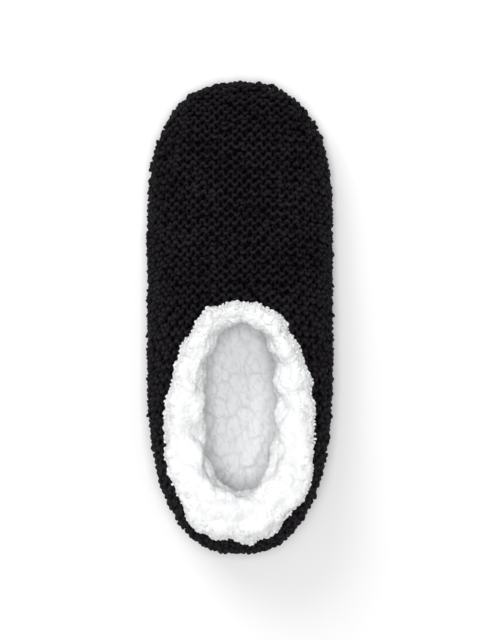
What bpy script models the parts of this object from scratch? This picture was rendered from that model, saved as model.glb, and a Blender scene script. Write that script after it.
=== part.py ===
"""A knitted slipper sock for either foot: a hollow garter-stitch upper, a deep fleece cuff turned over
its collar, a fleece insole and a thin gripper sole. Metres, +Z up, toe towards +Y, heel towards -Y.
The origin is on the floor, midway along the length and the width."""

import math

import bmesh
import bpy
import numpy as np

# Driving sizes of the knitted upper
LENGTH = 0.250
BALL_WIDTH = 0.0985
INSTEP_HEIGHT = 0.058
TOE_ROUND = 0.075
HEEL_ROUND = 0.100
WALL = 0.003

# Fullness of a curve: 2 is an ellipse, and more is squarer
TOE_FULLNESS = 2.5
HEEL_FULLNESS = 2.45
DOME_FULLNESS = 2.2

# The collar, which is the opening in the knit, seen from above
COLLAR_LENGTH = 0.119
COLLAR_WIDTH = 0.0735
HEEL_LEAN = 0.0112
COLLAR_FRONT_FULLNESS = 2.3
COLLAR_EGG = 0.12

# The long line round the toe ends on the short throat: how its stations crowd together there
THROAT_SPREAD = 0.25
THROAT_CROWDING = 2.6

# The fleece cuff: how wide it looks from above at the heel, how high it stands over the knit's edge,
# how far its lip covers the knit outside, and how far it hangs down inside
CUFF_BAND = 0.023
CUFF_RISE = 0.0085
CUFF_LIP = 0.0025
CUFF_PILE = 0.0025
CUFF_HANG = 0.020
CUFF_SKIRT = 0.007
LOCK_HEIGHT = 0.0016

# Sole and insole
SOLE_THICKNESS = 0.0025
SOLE_EDGE_ROUND = 0.0007
INSOLE_THICKNESS = 0.006
INSOLE_EDGE_ROUND = 0.0018
INSOLE_CROWN = 0.0012
TOE_SPRING = 0.004
TOE_SPRING_LENGTH = 0.042
HEEL_SPRING = 0.0015
HEEL_SPRING_LENGTH = 0.018
ARCH_LIFT = 0.0012
GAP = 0.0003

# The arch: the share of the length where it is highest, and how far it reaches to each side of that
ARCH_PLACE = 0.55
ARCH_REACH = 0.11

# Sections of the last. at: share of the length, from the toe. crown: height that the dome of the
# upper aims at over the middle line, and bulge: height of its widest line, as shares of the instep
# height. margin: how far the sole's edge lies inside the widest line, as a share of the ball width.
SECTIONS = {
    "at": (0.00, 0.12, 0.30, 0.48, 0.60, 0.74, 0.86, 1.00),
    "crown": (0.66, 0.71, 0.81, 1.00, 0.975, 1.08, 1.37, 1.66),
    "bulge": (0.26, 0.25, 0.25, 0.29, 0.33, 0.37, 0.40, 0.41),
    "margin": (0.027, 0.017, 0.020, 0.052, 0.081, 0.102, 0.103, 0.097),
}

# Sections of the cuff. at: share of the way round the collar, from the throat to the heel. band and
# rise are shares of CUFF_BAND and CUFF_RISE.
CUFF_SECTIONS = {
    "at": (0.00, 0.20, 0.40, 0.55, 0.75, 1.00),
    "band": (0.30, 0.46, 0.72, 0.82, 0.86, 1.00),
    "rise": (0.55, 0.75, 0.95, 1.00, 1.05, 1.15),
}

# The cuff's roll, from outside over the top to the inside. out: share of CUFF_PILE straight out of the
# knit. band and rise: shares of the cuff's own width and height at that place round the collar.
CUFF_ROLL = {
    "out": (0.8, 0.0, 0.0, 0.0, 0.0),
    "band": (0.0, 0.35, 0.75, 1.0, 0.8),
    "rise": (0.55, 1.0, 0.65, -0.4, -1.7),
}

# How the meshes are divided
STATIONS = 37
LOWER_RINGS = 4
UPPER_RINGS = 11
PLATE_COLUMNS = 5
SAMPLES = 400
LOCK_SEED = 5

# How far the knit's lower edge has turned under where it meets the sole, and how wide its foot is
TURN_UNDER = math.radians(65)
FOOT_WIDTH = 1.2 * WALL

HALF_WIDTH = BALL_WIDTH / 2
TOE_TIP = LENGTH / 2
HEEL_TIP = -LENGTH / 2
COLLAR_BACK = HEEL_TIP + HEEL_LEAN
THROAT = COLLAR_BACK + COLLAR_LENGTH
SOLE_TOE = TOE_TIP - BALL_WIDTH * SECTIONS["margin"][0]
SOLE_HEEL = HEEL_TIP + BALL_WIDTH * SECTIONS["margin"][-1]


def smooth(table, column, at):
    """A column of a table, read at any place along it through a smooth curve."""
    places = np.array(table["at"])
    values = np.array(table[column])
    slopes = np.gradient(values, places)
    at = np.clip(at, places[0], places[-1])
    row = np.clip(np.searchsorted(places, at, side="right") - 1, 0, len(places) - 2)
    step = places[row + 1] - places[row]
    share = (at - places[row]) / step
    rise = values[row + 1] - values[row]
    start, end = slopes[row] * step, slopes[row + 1] * step
    bend = start * (1 - share) - end * share + rise * (2 * share - 1)
    return values[row] + rise * share + share * (1 - share) * bend


def along(y):
    """Share of the length, from the toe, of a place y."""
    return (TOE_TIP - y) / LENGTH


def evenly(curve, count):
    """Points spaced evenly along a densely sampled curve."""
    steps = np.linalg.norm(np.diff(curve, axis=0), axis=1)
    travelled = np.concatenate([[0], np.cumsum(steps)])
    wanted = np.linspace(0, travelled[-1], count)
    return np.stack([np.interp(wanted, travelled, curve[:, k]) for k in range(curve.shape[1])], axis=1)


def round_end(fullness, length):
    """A quarter of a round end, from its tip to its side: across and along, as x and distance."""
    turn = np.linspace(0, math.pi / 2, SAMPLES)
    across = HALF_WIDTH * np.sin(turn) ** (2 / fullness)
    return across, length * (1 - np.cos(turn) ** (2 / fullness))


def widest_line(count):
    """The right half of the upper's outline from above, from the toe tip to the heel."""
    toe_x, toe_in = round_end(TOE_FULLNESS, TOE_ROUND)
    heel_x, heel_in = round_end(HEEL_FULLNESS, HEEL_ROUND)
    toe = np.stack([toe_x, TOE_TIP - toe_in], axis=1)
    heel = np.stack([heel_x, HEEL_TIP + heel_in], axis=1)[::-1]
    return evenly(np.concatenate([toe, heel]), count)


def inwards(line):
    """The plan direction that points into the slipper, at each point of its right half line."""
    tangent = np.gradient(line, axis=0)
    tangent[[0, -1]] = [[1, 0], [-1, 0]]
    tangent /= np.linalg.norm(tangent, axis=1)[:, None]
    return np.stack([tangent[:, 1], -tangent[:, 0]], axis=1)


def sole_line(count, inset=0.0):
    """The right half of the sole's outline, moved in by inset."""
    line = widest_line(count)
    margin = BALL_WIDTH * smooth(SECTIONS, "margin", along(line[:, 1]))
    return line + inwards(line) * (margin + inset)[:, None]


def collar_line(count):
    """The right half of the collar from above, from the throat to the back. It is egg-shaped."""
    turn = np.linspace(0, math.pi, 2 * SAMPLES)
    cosine = np.cos(turn)
    fullness = np.where(cosine > 0, COLLAR_FRONT_FULLNESS, 2)
    across = (1 - np.abs(cosine) ** fullness) ** (1 / fullness)
    x = COLLAR_WIDTH / 2 * across * (1 - COLLAR_EGG * cosine)
    y = (THROAT + COLLAR_BACK) / 2 + COLLAR_LENGTH / 2 * cosine
    return evenly(np.stack([x, y], axis=1), count)


def gauge(x, y):
    """How far out a place is in plan: 0 on the middle line and 1 on the widest line."""
    in_toe = (y - (TOE_TIP - TOE_ROUND)) / TOE_ROUND
    in_heel = (HEEL_TIP + HEEL_ROUND - y) / HEEL_ROUND
    end = np.clip(np.maximum(in_toe, in_heel), 0, 1)
    fullness = np.where(in_toe > in_heel, TOE_FULLNESS, HEEL_FULLNESS)
    return (np.abs(x / HALF_WIDTH) ** fullness + end**fullness) ** (1 / fullness)


def dome(x, y):
    """Height of the knit's outer face over a place in plan, above its widest line."""
    bulge = INSTEP_HEIGHT * smooth(SECTIONS, "bulge", along(y))
    crown = INSTEP_HEIGHT * smooth(SECTIONS, "crown", along(y))
    out = np.clip(gauge(x, y), 0, 1)
    return bulge + (crown - bulge) * (1 - out**DOME_FULLNESS) ** (1 / DOME_FULLNESS)


def underside(y):
    """Height of the sole's bottom face: flat under heel and forefoot, lifted at toe, arch and heel."""
    toe = np.clip((y - SOLE_TOE + TOE_SPRING_LENGTH) / TOE_SPRING_LENGTH, 0, 1)
    heel = np.clip((SOLE_HEEL + HEEL_SPRING_LENGTH - y) / HEEL_SPRING_LENGTH, 0, 1)
    arch = np.clip(1 - np.abs(along(y) - ARCH_PLACE) / ARCH_REACH, 0, 1)
    bump = arch * arch * (3 - 2 * arch)
    return TOE_SPRING * toe**2 + HEEL_SPRING * heel**2 + ARCH_LIFT * bump


def mirrored(half):
    """A closed loop from its right half, whose first and last points are on the middle line."""
    left = half[1:-1][::-1] * np.array([-1, 1, 1])
    return np.concatenate([half, left])


def collar_shares(count):
    """Where on the collar each station of the widest line ends, as shares of their half lines."""
    place = np.linspace(0, 1, count)
    return THROAT_SPREAD * place + (1 - THROAT_SPREAD) * place**THROAT_CROWDING


def station_ends(count):
    """For each station: its point on the widest line, and its point on the collar, both in plan."""
    collar = collar_line(SAMPLES)
    wanted = collar_shares(count) * (SAMPLES - 1)
    ends = [np.interp(wanted, np.arange(SAMPLES), collar[:, k]) for k in range(2)]
    return widest_line(count), np.stack(ends, axis=1)


def upper_rings():
    """The knit's outer face as rings from the sole's edge up to the collar."""
    line, ends = station_ends(STATIONS)
    edge = sole_line(STATIONS)
    bulge = INSTEP_HEIGHT * smooth(SECTIONS, "bulge", along(line[:, 1]))
    seat = underside(edge[:, 1]) + SOLE_THICKNESS + GAP
    rings = []
    for turn in np.linspace(TURN_UNDER, 0, LOWER_RINGS, endpoint=False):
        tucked = (1 - math.cos(turn)) / (1 - math.cos(TURN_UNDER))
        lowered = math.sin(turn) / math.sin(TURN_UNDER)
        plan = line + (edge - line) * tucked
        height = bulge - (bulge - seat) * lowered
        rings.append(mirrored(np.column_stack([plan, height])))
    for turn in np.linspace(0, math.pi / 2, UPPER_RINGS):
        plan = line + (ends - line) * (1 - math.cos(turn))
        rings.append(mirrored(np.column_stack([plan, dome(plan[:, 0], plan[:, 1])])))
    return np.array(rings)


def outward(rings):
    """The unit normal at each point of rings that run up a wall, pointing out of the slipper."""
    up = np.gradient(rings, axis=0)
    around = np.roll(rings, -1, axis=1) - np.roll(rings, 1, axis=1)
    normal = np.cross(up, around)
    return normal / np.linalg.norm(normal, axis=2)[:, :, None]


def knit_upper():
    """The hollow knit: its outer face, and an inner face one wall inside it. Its foot is cut level
    with the sole's top, to stand on it."""
    outer = upper_rings()
    inner = outer - outward(outer) * WALL
    foot = mirrored(np.column_stack([sole_line(STATIONS, FOOT_WIDTH), np.zeros(STATIONS)]))
    inner[0] = foot
    inner[0, :, 2] = outer[0, :, 2]
    return ring_solid("knit_upper", np.concatenate([outer, inner[::-1]]))


def doubled(loop):
    """A closed loop of points with one more in the middle of each of its chords."""
    middles = (loop + np.roll(loop, -1, axis=0)) / 2
    return np.stack([loop, middles], axis=1).reshape(-1, 3)


def below_collar(distance):
    """Points of the knit's outer face a distance down from the collar's edge, all the way round, and
    the directions that point out of the knit there."""
    rings = upper_rings()
    normals = outward(rings)[::-1]
    rings = rings[::-1]
    steps = np.linalg.norm(np.diff(rings, axis=0), axis=2)
    travelled = np.concatenate([np.zeros((1, rings.shape[1])), np.cumsum(steps, axis=0)])
    points, out = [], []
    for j in range(rings.shape[1]):
        points.append([np.interp(distance, travelled[:, j], rings[:, j, k]) for k in range(3)])
        out.append([np.interp(distance, travelled[:, j], normals[:, j, k]) for k in range(3)])
    return doubled(np.array(points)), doubled(np.array(out))


def around_collar(half):
    """Values for each point of below_collar, from a value for each station of the right half."""
    loop = np.concatenate([half, half[1:-1][::-1]])
    return np.stack([loop, (loop + np.roll(loop, -1)) / 2], axis=1).reshape(-1, 1)


def cuff_anchors():
    """The cuff's fleece face, as rows of points from its lip outside, over the top, to its skirt
    inside the knit."""
    rim, rim_out = below_collar(0)
    lip, lip_out = below_collar(CUFF_LIP)
    skirt, skirt_out = below_collar(CUFF_HANG)
    _, ends = station_ends(STATIONS)
    inside = doubled(mirrored(np.column_stack([inwards(ends), np.zeros(STATIONS)])))
    shares = collar_shares(STATIONS)
    band = CUFF_BAND * around_collar(smooth(CUFF_SECTIONS, "band", shares)) * inside
    rise = CUFF_RISE * around_collar(smooth(CUFF_SECTIONS, "rise", shares)) * np.array([[0, 0, 1]])
    roll = [
        rim + rim_out * CUFF_PILE * pile + band * across + rise * up
        for pile, across, up in zip(CUFF_ROLL["out"], CUFF_ROLL["band"], CUFF_ROLL["rise"])
    ]
    ends_outside = [lip + lip_out * GAP, lip + lip_out * CUFF_PILE]
    return [*ends_outside, *roll, skirt - skirt_out * (WALL + CUFF_SKIRT)]


def rounded(anchors):
    """Rows between the anchors as well, so that the face is a smooth curve through them."""
    rows = []
    last = len(anchors) - 1
    for i in range(last):
        before, here, there, after = (anchors[k] for k in (max(i - 1, 0), i, i + 1, min(i + 2, last)))
        rows.append(here)
        rows.append((9 * (here + there) - before - after) / 16)
    rows.append(anchors[last])
    return rows


def with_locks(rows):
    """The fleece's locks, fused on: each inner point of the face is pushed out or in by its own
    amount, which is less where the points crowd together."""
    face = np.array(rows)
    random = np.random.default_rng(LOCK_SEED)
    spacing = np.linalg.norm(np.roll(face, -1, axis=1) - face, axis=2)
    height = LOCK_HEIGHT * np.clip(spacing / LOCK_HEIGHT, 0, 1)
    push = height * random.uniform(-0.6, 0.8, face.shape[:2])
    push[[0, -1]] = 0
    return face + outward(face) * push[:, :, None]


def fleece_cuff():
    """The cuff: its fleece face, and a back that follows the knit's wall with a gap."""
    face = with_locks(rounded(cuff_anchors()))
    back = []
    for share in (1, 0.5, 0):
        wall, out = below_collar(CUFF_HANG * share)
        back.append(wall - out * (WALL + GAP))
    rim, out = below_collar(0)
    below, _ = below_collar(CUFF_LIP)
    up_wall = (rim - below) / np.linalg.norm(rim - below, axis=1)[:, None]
    over = rim + up_wall * 2 * GAP
    back.append(over - out * (WALL + GAP))
    back.append(over + out * GAP)
    return ring_solid("fleece_cuff", np.concatenate([face, np.array(back)]))


def plate(name, line, bottom, thickness, edge_round, crown):
    """A thin solid with a rounded rim on the outline of line, from the toe to the heel. bottom gives
    the height of its lower face at a place y, and crown how much its middle swells."""
    across = np.linspace(-1, 1, PLATE_COLUMNS)
    loops = []
    for half, y in line[1:-1]:
        low = bottom(y)
        inner = (half - edge_round) * across
        swell = low + thickness + crown * (1 - across**2)
        rim = np.array([[half, low + edge_round], [half, low + thickness - edge_round]])
        loop = [(x, y, low) for x in inner]
        loop += [(x, y, z) for x, z in rim]
        loop += [(x, y, z) for x, z in zip(inner[::-1], swell[::-1])]
        loop += [(-x, y, z) for x, z in rim[::-1]]
        loops.append(loop)
    return bar_solid(name, np.array(loops))


def gripper_sole():
    return plate("gripper_sole", sole_line(STATIONS), underside, SOLE_THICKNESS, SOLE_EDGE_ROUND, 0)


def fleece_insole():
    """The insole lies on the sole, inside the foot of the knit."""

    def bottom(y):
        return underside(y) + SOLE_THICKNESS + GAP

    line = sole_line(STATIONS, FOOT_WIDTH + GAP)
    return plate("fleece_insole", line, bottom, INSOLE_THICKNESS, INSOLE_EDGE_ROUND, INSOLE_CROWN)


def ring_solid(name, grid):
    """A closed ring: grid holds rows of points that join end to end both ways."""
    mesh = bmesh.new()
    points = [[mesh.verts.new(point) for point in row] for row in grid]
    rows, columns = len(points), len(points[0])
    for i in range(rows):
        for j in range(columns):
            across, around = (i + 1) % rows, (j + 1) % columns
            mesh.faces.new([points[i][j], points[i][around], points[across][around], points[across][j]])
    return finished(name, mesh)


def bar_solid(name, loops):
    """A bar whose closed cross-sections are the loops, with a flat cap at each end."""
    mesh = bmesh.new()
    points = [[mesh.verts.new(point) for point in loop] for loop in loops]
    count = len(points[0])
    for near, far in zip(points, points[1:]):
        for j in range(count):
            following = (j + 1) % count
            mesh.faces.new([near[j], near[following], far[following], far[j]])
    mesh.faces.new(points[0])
    mesh.faces.new(points[-1])
    return finished(name, mesh)


def finished(name, mesh):
    """The named object of a mesh, with its faces pointing out and smooth shading."""
    bmesh.ops.recalc_face_normals(mesh, faces=mesh.faces)
    data = bpy.data.meshes.new(name)
    mesh.to_mesh(data)
    mesh.free()
    data.shade_smooth()
    data.set_sharp_from_angle(angle=math.radians(50))
    part = bpy.data.objects.new(name, data)
    bpy.context.scene.collection.objects.link(part)
    return part


def material(name, colour, roughness):
    """A plain material for one kind of cloth."""
    made = bpy.data.materials.new(name)
    made.use_nodes = True
    shader = made.node_tree.nodes["Principled BSDF"]
    shader.inputs["Base Color"].default_value = (*colour, 1)
    shader.inputs["Roughness"].default_value = roughness
    shader.inputs["Metallic"].default_value = 0
    return made


def main():
    for old in list(bpy.data.objects):
        bpy.data.objects.remove(old)
    parts = {
        material("black_yarn", (0.012, 0.010, 0.013), 0.9): [knit_upper()],
        material("white_fleece", (0.88, 0.88, 0.90), 0.95): [fleece_cuff(), fleece_insole()],
        material("sole_cloth", (0.030, 0.030, 0.032), 0.8): [gripper_sole()],
    }
    for cloth, members in parts.items():
        for member in members:
            member.data.materials.append(cloth)


main()
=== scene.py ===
# %% [markdown]
# # A knitted slipper sock
#
# This lesson dresses a finished frame as a knitted slipper sock with a fleece cuff. The frame's solids
# already have the right size and place: a hollow knit upper, a fleece cuff, a fleece insole and a thin
# gripper sole. They are plain, though. What makes the real thing is small: thousands of yarn loops, the
# curls of the pile, the ribs of the sole's cloth and its rubbery dots. Each step below makes one of them.

# %% Load the frame
import math

import bpy
import numpy as np
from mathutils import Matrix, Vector, noise
from mathutils.bvhtree import BVHTree
from mathutils.kdtree import KDTree


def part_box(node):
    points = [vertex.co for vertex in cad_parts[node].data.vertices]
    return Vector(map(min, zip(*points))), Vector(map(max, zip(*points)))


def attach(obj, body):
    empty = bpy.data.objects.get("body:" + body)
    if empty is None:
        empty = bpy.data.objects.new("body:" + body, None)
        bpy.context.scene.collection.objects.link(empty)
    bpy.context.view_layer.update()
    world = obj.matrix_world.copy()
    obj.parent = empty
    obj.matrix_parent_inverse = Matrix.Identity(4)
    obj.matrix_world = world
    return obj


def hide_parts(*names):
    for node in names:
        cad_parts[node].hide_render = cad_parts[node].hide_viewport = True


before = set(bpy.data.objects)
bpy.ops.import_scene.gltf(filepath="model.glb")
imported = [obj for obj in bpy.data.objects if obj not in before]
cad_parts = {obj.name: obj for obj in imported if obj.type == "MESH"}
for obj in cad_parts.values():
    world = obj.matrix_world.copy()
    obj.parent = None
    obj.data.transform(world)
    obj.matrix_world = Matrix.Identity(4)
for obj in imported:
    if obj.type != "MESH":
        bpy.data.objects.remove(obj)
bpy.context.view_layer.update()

knit_low, knit_high = (np.array(corner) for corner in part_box("knit_upper"))
LENGTH, WIDTH = knit_high[1] - knit_low[1], knit_high[0] - knit_low[0]
print(f"the knit is {LENGTH * 1000:.0f} mm long and {WIDTH * 1000:.1f} mm wide")

# %% [markdown]
# ## The last
#
# A slipper is made on a last, the form of a foot. Here the last is a few curves. Seen from above, its
# widest line has a round toe and a longer, squarer heel, the sole's edge lies a little inside it, and the
# collar is an egg. Heights come from a short table with one row for each section from toe to heel. All
# the soft surfaces below are read from these same curves, so the yarn, the pile and the sole fit one
# another without any fitting.

# %% Curves of the last
TOE_ROUND, TOE_FULLNESS = 0.075, 2.5
HEEL_ROUND, HEEL_FULLNESS = 0.100, 2.45
DOME_FULLNESS = 2.2
INSTEP_HEIGHT = 0.058
COLLAR_LENGTH, COLLAR_WIDTH, COLLAR_EGG = 0.119, 0.0735, 0.12
COLLAR_FRONT_FULLNESS, COLLAR_BACK_FULLNESS = 2.3, 2
HEEL_LEAN = 0.0112
THROAT_SPREAD, THROAT_CROWDING = 0.25, 2.6
WALL, SOLE_THICKNESS, GAP = 0.003, 0.0025, 0.0003
TURN_UNDER = math.radians(65)
TOE_SPRING, TOE_SPRING_LENGTH = 0.004, 0.042
HEEL_SPRING, HEEL_SPRING_LENGTH = 0.0015, 0.018
ARCH_RISE, ARCH_AT, ARCH_REACH = 0.0012, 0.55, 0.11
TURNED = np.array([-1, 1, 1])        # turns the right side over to the left
SAMPLES = 600

SECTIONS = {
    "at": (0.00, 0.12, 0.30, 0.48, 0.60, 0.74, 0.86, 1.00),
    "crown": (0.66, 0.71, 0.81, 1.00, 0.975, 1.08, 1.37, 1.66),
    "bulge": (0.26, 0.25, 0.25, 0.29, 0.33, 0.37, 0.40, 0.41),
    "margin": (0.027, 0.017, 0.020, 0.052, 0.081, 0.102, 0.103, 0.097),
}
TOE_TIP, HEEL_TIP = LENGTH / 2, -LENGTH / 2
COLLAR_BACK = HEEL_TIP + HEEL_LEAN
THROAT = COLLAR_BACK + COLLAR_LENGTH
SOLE_TOE = TOE_TIP - WIDTH * SECTIONS["margin"][0]
SOLE_HEEL = HEEL_TIP + WIDTH * SECTIONS["margin"][-1]


def smooth(table, column, at):
    """A column of a table, read at any place along it through a smooth curve."""
    places, values = np.array(table["at"]), np.array(table[column])
    slopes = np.gradient(values, places)
    at = np.clip(at, places[0], places[-1])
    row = np.clip(np.searchsorted(places, at, side="right") - 1, 0, len(places) - 2)
    step, rise = places[row + 1] - places[row], values[row + 1] - values[row]
    share = (at - places[row]) / step
    bend = slopes[row] * step * (1 - share) - slopes[row + 1] * step * share + rise * (2 * share - 1)
    return values[row] + rise * share + share * (1 - share) * bend


def travelled(curve):
    """The distance along a curve of points, at each of them."""
    return np.concatenate([[0], np.cumsum(np.linalg.norm(np.diff(curve, axis=0), axis=1))])


def walk(curve, distances):
    """Points of a curve at some distances along it."""
    way = travelled(curve)
    return np.stack([np.interp(distances, way, curve[:, k]) for k in range(curve.shape[1])], axis=1)


def walk_shares(curve, shares):
    return walk(curve, np.asarray(shares) * travelled(curve)[-1])


def heights(column, y):
    return INSTEP_HEIGHT * smooth(SECTIONS, column, (TOE_TIP - y) / LENGTH)


def widest_line():
    """The right half of the outline from above, from the toe tip to the heel."""
    turn = np.linspace(0, math.pi / 2, SAMPLES)
    ends = [np.stack([WIDTH / 2 * np.sin(turn) ** (2 / fullness),
                      tip - depth * (1 - np.cos(turn) ** (2 / fullness))], axis=1)
            for tip, depth, fullness in ((TOE_TIP, TOE_ROUND, TOE_FULLNESS),
                                         (HEEL_TIP, -HEEL_ROUND, HEEL_FULLNESS))]
    return np.concatenate([ends[0], ends[1][::-1]])


def inwards(line):
    """The plan direction into the slipper at each point of its right half line."""
    tangent = np.gradient(line, axis=0)
    tangent[[0, -1]] = [[1, 0], [-1, 0]]
    tangent /= np.linalg.norm(tangent, axis=1)[:, None]
    return np.stack([tangent[:, 1], -tangent[:, 0]], axis=1)


def collar_line():
    """The right half of the collar from above, from the throat to the back."""
    cosine = np.cos(np.linspace(0, math.pi, 2 * SAMPLES))
    fullness = np.where(cosine > 0, COLLAR_FRONT_FULLNESS, COLLAR_BACK_FULLNESS)
    across = (1 - np.abs(cosine) ** fullness) ** (1 / fullness)
    x = COLLAR_WIDTH / 2 * across * (1 - COLLAR_EGG * cosine)
    return np.stack([x, (THROAT + COLLAR_BACK) / 2 + COLLAR_LENGTH / 2 * cosine], axis=1)


def sole_line(places, inset=0.0):
    """The right half of the sole's outline at shares of the widest line, moved in by inset."""
    line = walk_shares(widest_line(), places)
    margin = WIDTH * smooth(SECTIONS, "margin", (TOE_TIP - line[:, 1]) / LENGTH)
    return line + inwards(line) * (margin + inset)[:, None]


def underside(y):
    """Height of the sole's lower face."""
    toe = np.clip((y - SOLE_TOE + TOE_SPRING_LENGTH) / TOE_SPRING_LENGTH, 0, 1)
    heel = np.clip((SOLE_HEEL + HEEL_SPRING_LENGTH - y) / HEEL_SPRING_LENGTH, 0, 1)
    arch = np.clip(1 - np.abs((TOE_TIP - y) / LENGTH - ARCH_AT) / ARCH_REACH, 0, 1)
    return TOE_SPRING * toe**2 + HEEL_SPRING * heel**2 + ARCH_RISE * arch * arch * (3 - 2 * arch)


def on_sole(y):
    """Height at which the knit's edge and the footbed rest on the sole."""
    return underside(y) + SOLE_THICKNESS + GAP


def dome(x, y):
    """Height of the knit's outer face above its widest line."""
    in_toe = (y - (TOE_TIP - TOE_ROUND)) / TOE_ROUND
    in_heel = (HEEL_TIP + HEEL_ROUND - y) / HEEL_ROUND
    end = np.clip(np.maximum(in_toe, in_heel), 0, 1)
    power = np.where(in_toe > in_heel, TOE_FULLNESS, HEEL_FULLNESS)
    out = np.clip((np.abs(2 * x / WIDTH) ** power + end**power) ** (1 / power), 0, 1)
    bulge, crown = heights("bulge", y), heights("crown", y)
    return bulge + (crown - bulge) * (1 - out**DOME_FULLNESS) ** (1 / DOME_FULLNESS)


def mirrored(half):
    """A closed loop from its right half, whose first and last points are on the middle line."""
    return np.concatenate([half, half[1:-1][::-1] * TURNED])


# %% [markdown]
# The skin of the last is a grid: rings that run from the sole's edge up to the collar, and stations that
# run along them. Each surface of the knit, the lining and the cuff starts from one.

# %% The skin of the last
def collar_share(places):
    """Where the stations of the widest line end on the collar: they crowd together at the throat."""
    return THROAT_SPREAD * places + (1 - THROAT_SPREAD) * places**THROAT_CROWDING


def skin(places, lower, upper):
    """The knit's outer face as rings, from the sole's edge up to the collar."""
    line, edge = walk_shares(widest_line(), places), sole_line(places)
    ends = walk_shares(collar_line(), collar_share(places))
    bulge, seat = heights("bulge", line[:, 1]), on_sole(edge[:, 1])
    rings = []
    for turn in np.linspace(TURN_UNDER, 0, lower, endpoint=False):
        plan = line + (edge - line) * (1 - math.cos(turn)) / (1 - math.cos(TURN_UNDER))
        height = bulge - (bulge - seat) * math.sin(turn) / math.sin(TURN_UNDER)
        rings.append(mirrored(np.column_stack([plan, height])))
    for turn in np.linspace(0, math.pi / 2, upper):
        plan = line + (ends - line) * (1 - math.cos(turn))
        rings.append(mirrored(np.column_stack([plan, dome(plan[:, 0], plan[:, 1])])))
    return np.array(rings)


def outward(rings):
    """The unit normals of rings that run up a wall, pointing out of the slipper."""
    around = np.roll(rings, -1, axis=1) - np.roll(rings, 1, axis=1)
    normal = np.cross(np.gradient(rings, axis=0), around)
    return normal / np.linalg.norm(normal, axis=2)[:, :, None]


def ring_faces(rows, columns, closed=False):
    """The squares between rows of points that each close on themselves, facing as outward says."""
    last = rows if closed else rows - 1
    i, j = np.meshgrid(np.arange(last), np.arange(columns), indexing="ij")
    up, on = (i + 1) % rows, (j + 1) % columns
    corners = [i * columns + j, up * columns + j, up * columns + on, i * columns + on]
    return np.stack(corners, axis=-1).reshape(-1, 4).tolist()


def placed(name, data):
    """A new object of a mesh, a light or a camera, in the scene."""
    made = bpy.data.objects.new(name, data)
    bpy.context.scene.collection.objects.link(made)
    return made


def piece(name, points, faces, finish):
    """A mesh object of a piece, shaded smooth, with its finish."""
    mesh = bpy.data.meshes.new(name)
    mesh.from_pydata(np.asarray(points).reshape(-1, 3).tolist(), [], faces)
    mesh.shade_smooth()
    mesh.materials.append(finish)
    print(f"{name}: {len(mesh.polygons)} faces")
    return placed(name, mesh)


def shell(name, rings, finish):
    """A piece whose grid of rings closes both ways round."""
    return piece(name, rings, ring_faces(*rings.shape[:2], closed=True), finish)


LOWER_RINGS, UPPER_RINGS = 24, 60
PLACES = np.linspace(0, 1, 181)
SKIN = skin(PLACES, LOWER_RINGS, UPPER_RINGS)
SKIN_OUT = outward(SKIN)
skin_tree = BVHTree.FromPolygons(SKIN.reshape(-1, 3).tolist(), ring_faces(*SKIN.shape[:2]))
print(f"the skin has {SKIN.shape[0]} rings of {SKIN.shape[1]} points")

# %% [markdown]
# ## Finishes
#
# Four cloths are needed: black yarn, white fleece, charcoal sole cloth and the clear rubber of the dots.
# Fibre is never one flat colour, so a small node group gives each cloth a grain: a mottled value for
# its colour and a height for its bump. The group reads Object coordinates, which stay put on the piece.
# The shaders themselves stay in each material, with their sheen and gloss set as plain numbers.

# %% A node group for the grain of fibre
def node(tree, kind, inputs=None, **settings):
    """A new node. Each input, by its name or number, gets a value or another node's output."""
    made = tree.nodes.new(kind)
    for key, value in settings.items():
        setattr(made, key, value)
    for key, value in (inputs or {}).items():
        if isinstance(value, bpy.types.NodeSocket):
            tree.links.new(value, made.inputs[key])
        else:
            made.inputs[key].default_value = value
    return made


def maths(tree, operation, *values):
    """What a Math node makes of numbers or other nodes' outputs."""
    return node(tree, "ShaderNodeMath", dict(enumerate(values)), operation=operation).outputs[0]


def scaled(tree, vector, scale):
    """A vector times a number."""
    return node(tree, "ShaderNodeVectorMath", {0: vector, "Scale": scale}, operation="SCALE").outputs[0]


def new_group(name, kind, inputs, outputs):
    """A node group with named inputs and outputs, and its input node."""
    tree = bpy.data.node_groups.new(name, kind)
    for side, labels in (("INPUT", inputs), ("OUTPUT", outputs)):
        for label, value in labels.items():
            tree.interface.new_socket(label, in_out=side, socket_type=f"NodeSocket{value}")
    return tree, node(tree, "NodeGroupInput")


def grain_group():
    """Fibre grain: a mottled shade around 1 and a height, both from two sizes of noise."""
    tree, given = new_group("fibre_grain", "ShaderNodeTree",
                            {"Patch Size": "Float", "Fibre Size": "Float", "Mottle": "Float"},
                            {"Shade": "Float", "Height": "Float"})
    place = node(tree, "ShaderNodeTexCoord")
    grains = []
    for label in ("Patch Size", "Fibre Size"):
        often = maths(tree, "DIVIDE", 1, given.outputs[label])
        grain = node(tree, "ShaderNodeTexNoise",
                     {"Vector": place.outputs["Object"], "Scale": often, "Detail": 3})
        grains.append(grain.outputs["Fac"])
    around = maths(tree, "SUBTRACT", maths(tree, "ADD", *grains), 1)
    shade = maths(tree, "MULTIPLY_ADD", around, given.outputs["Mottle"], 1)
    node(tree, "NodeGroupOutput", {"Shade": shade, "Height": grains[1]})
    return tree


GRAIN = grain_group()


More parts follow.
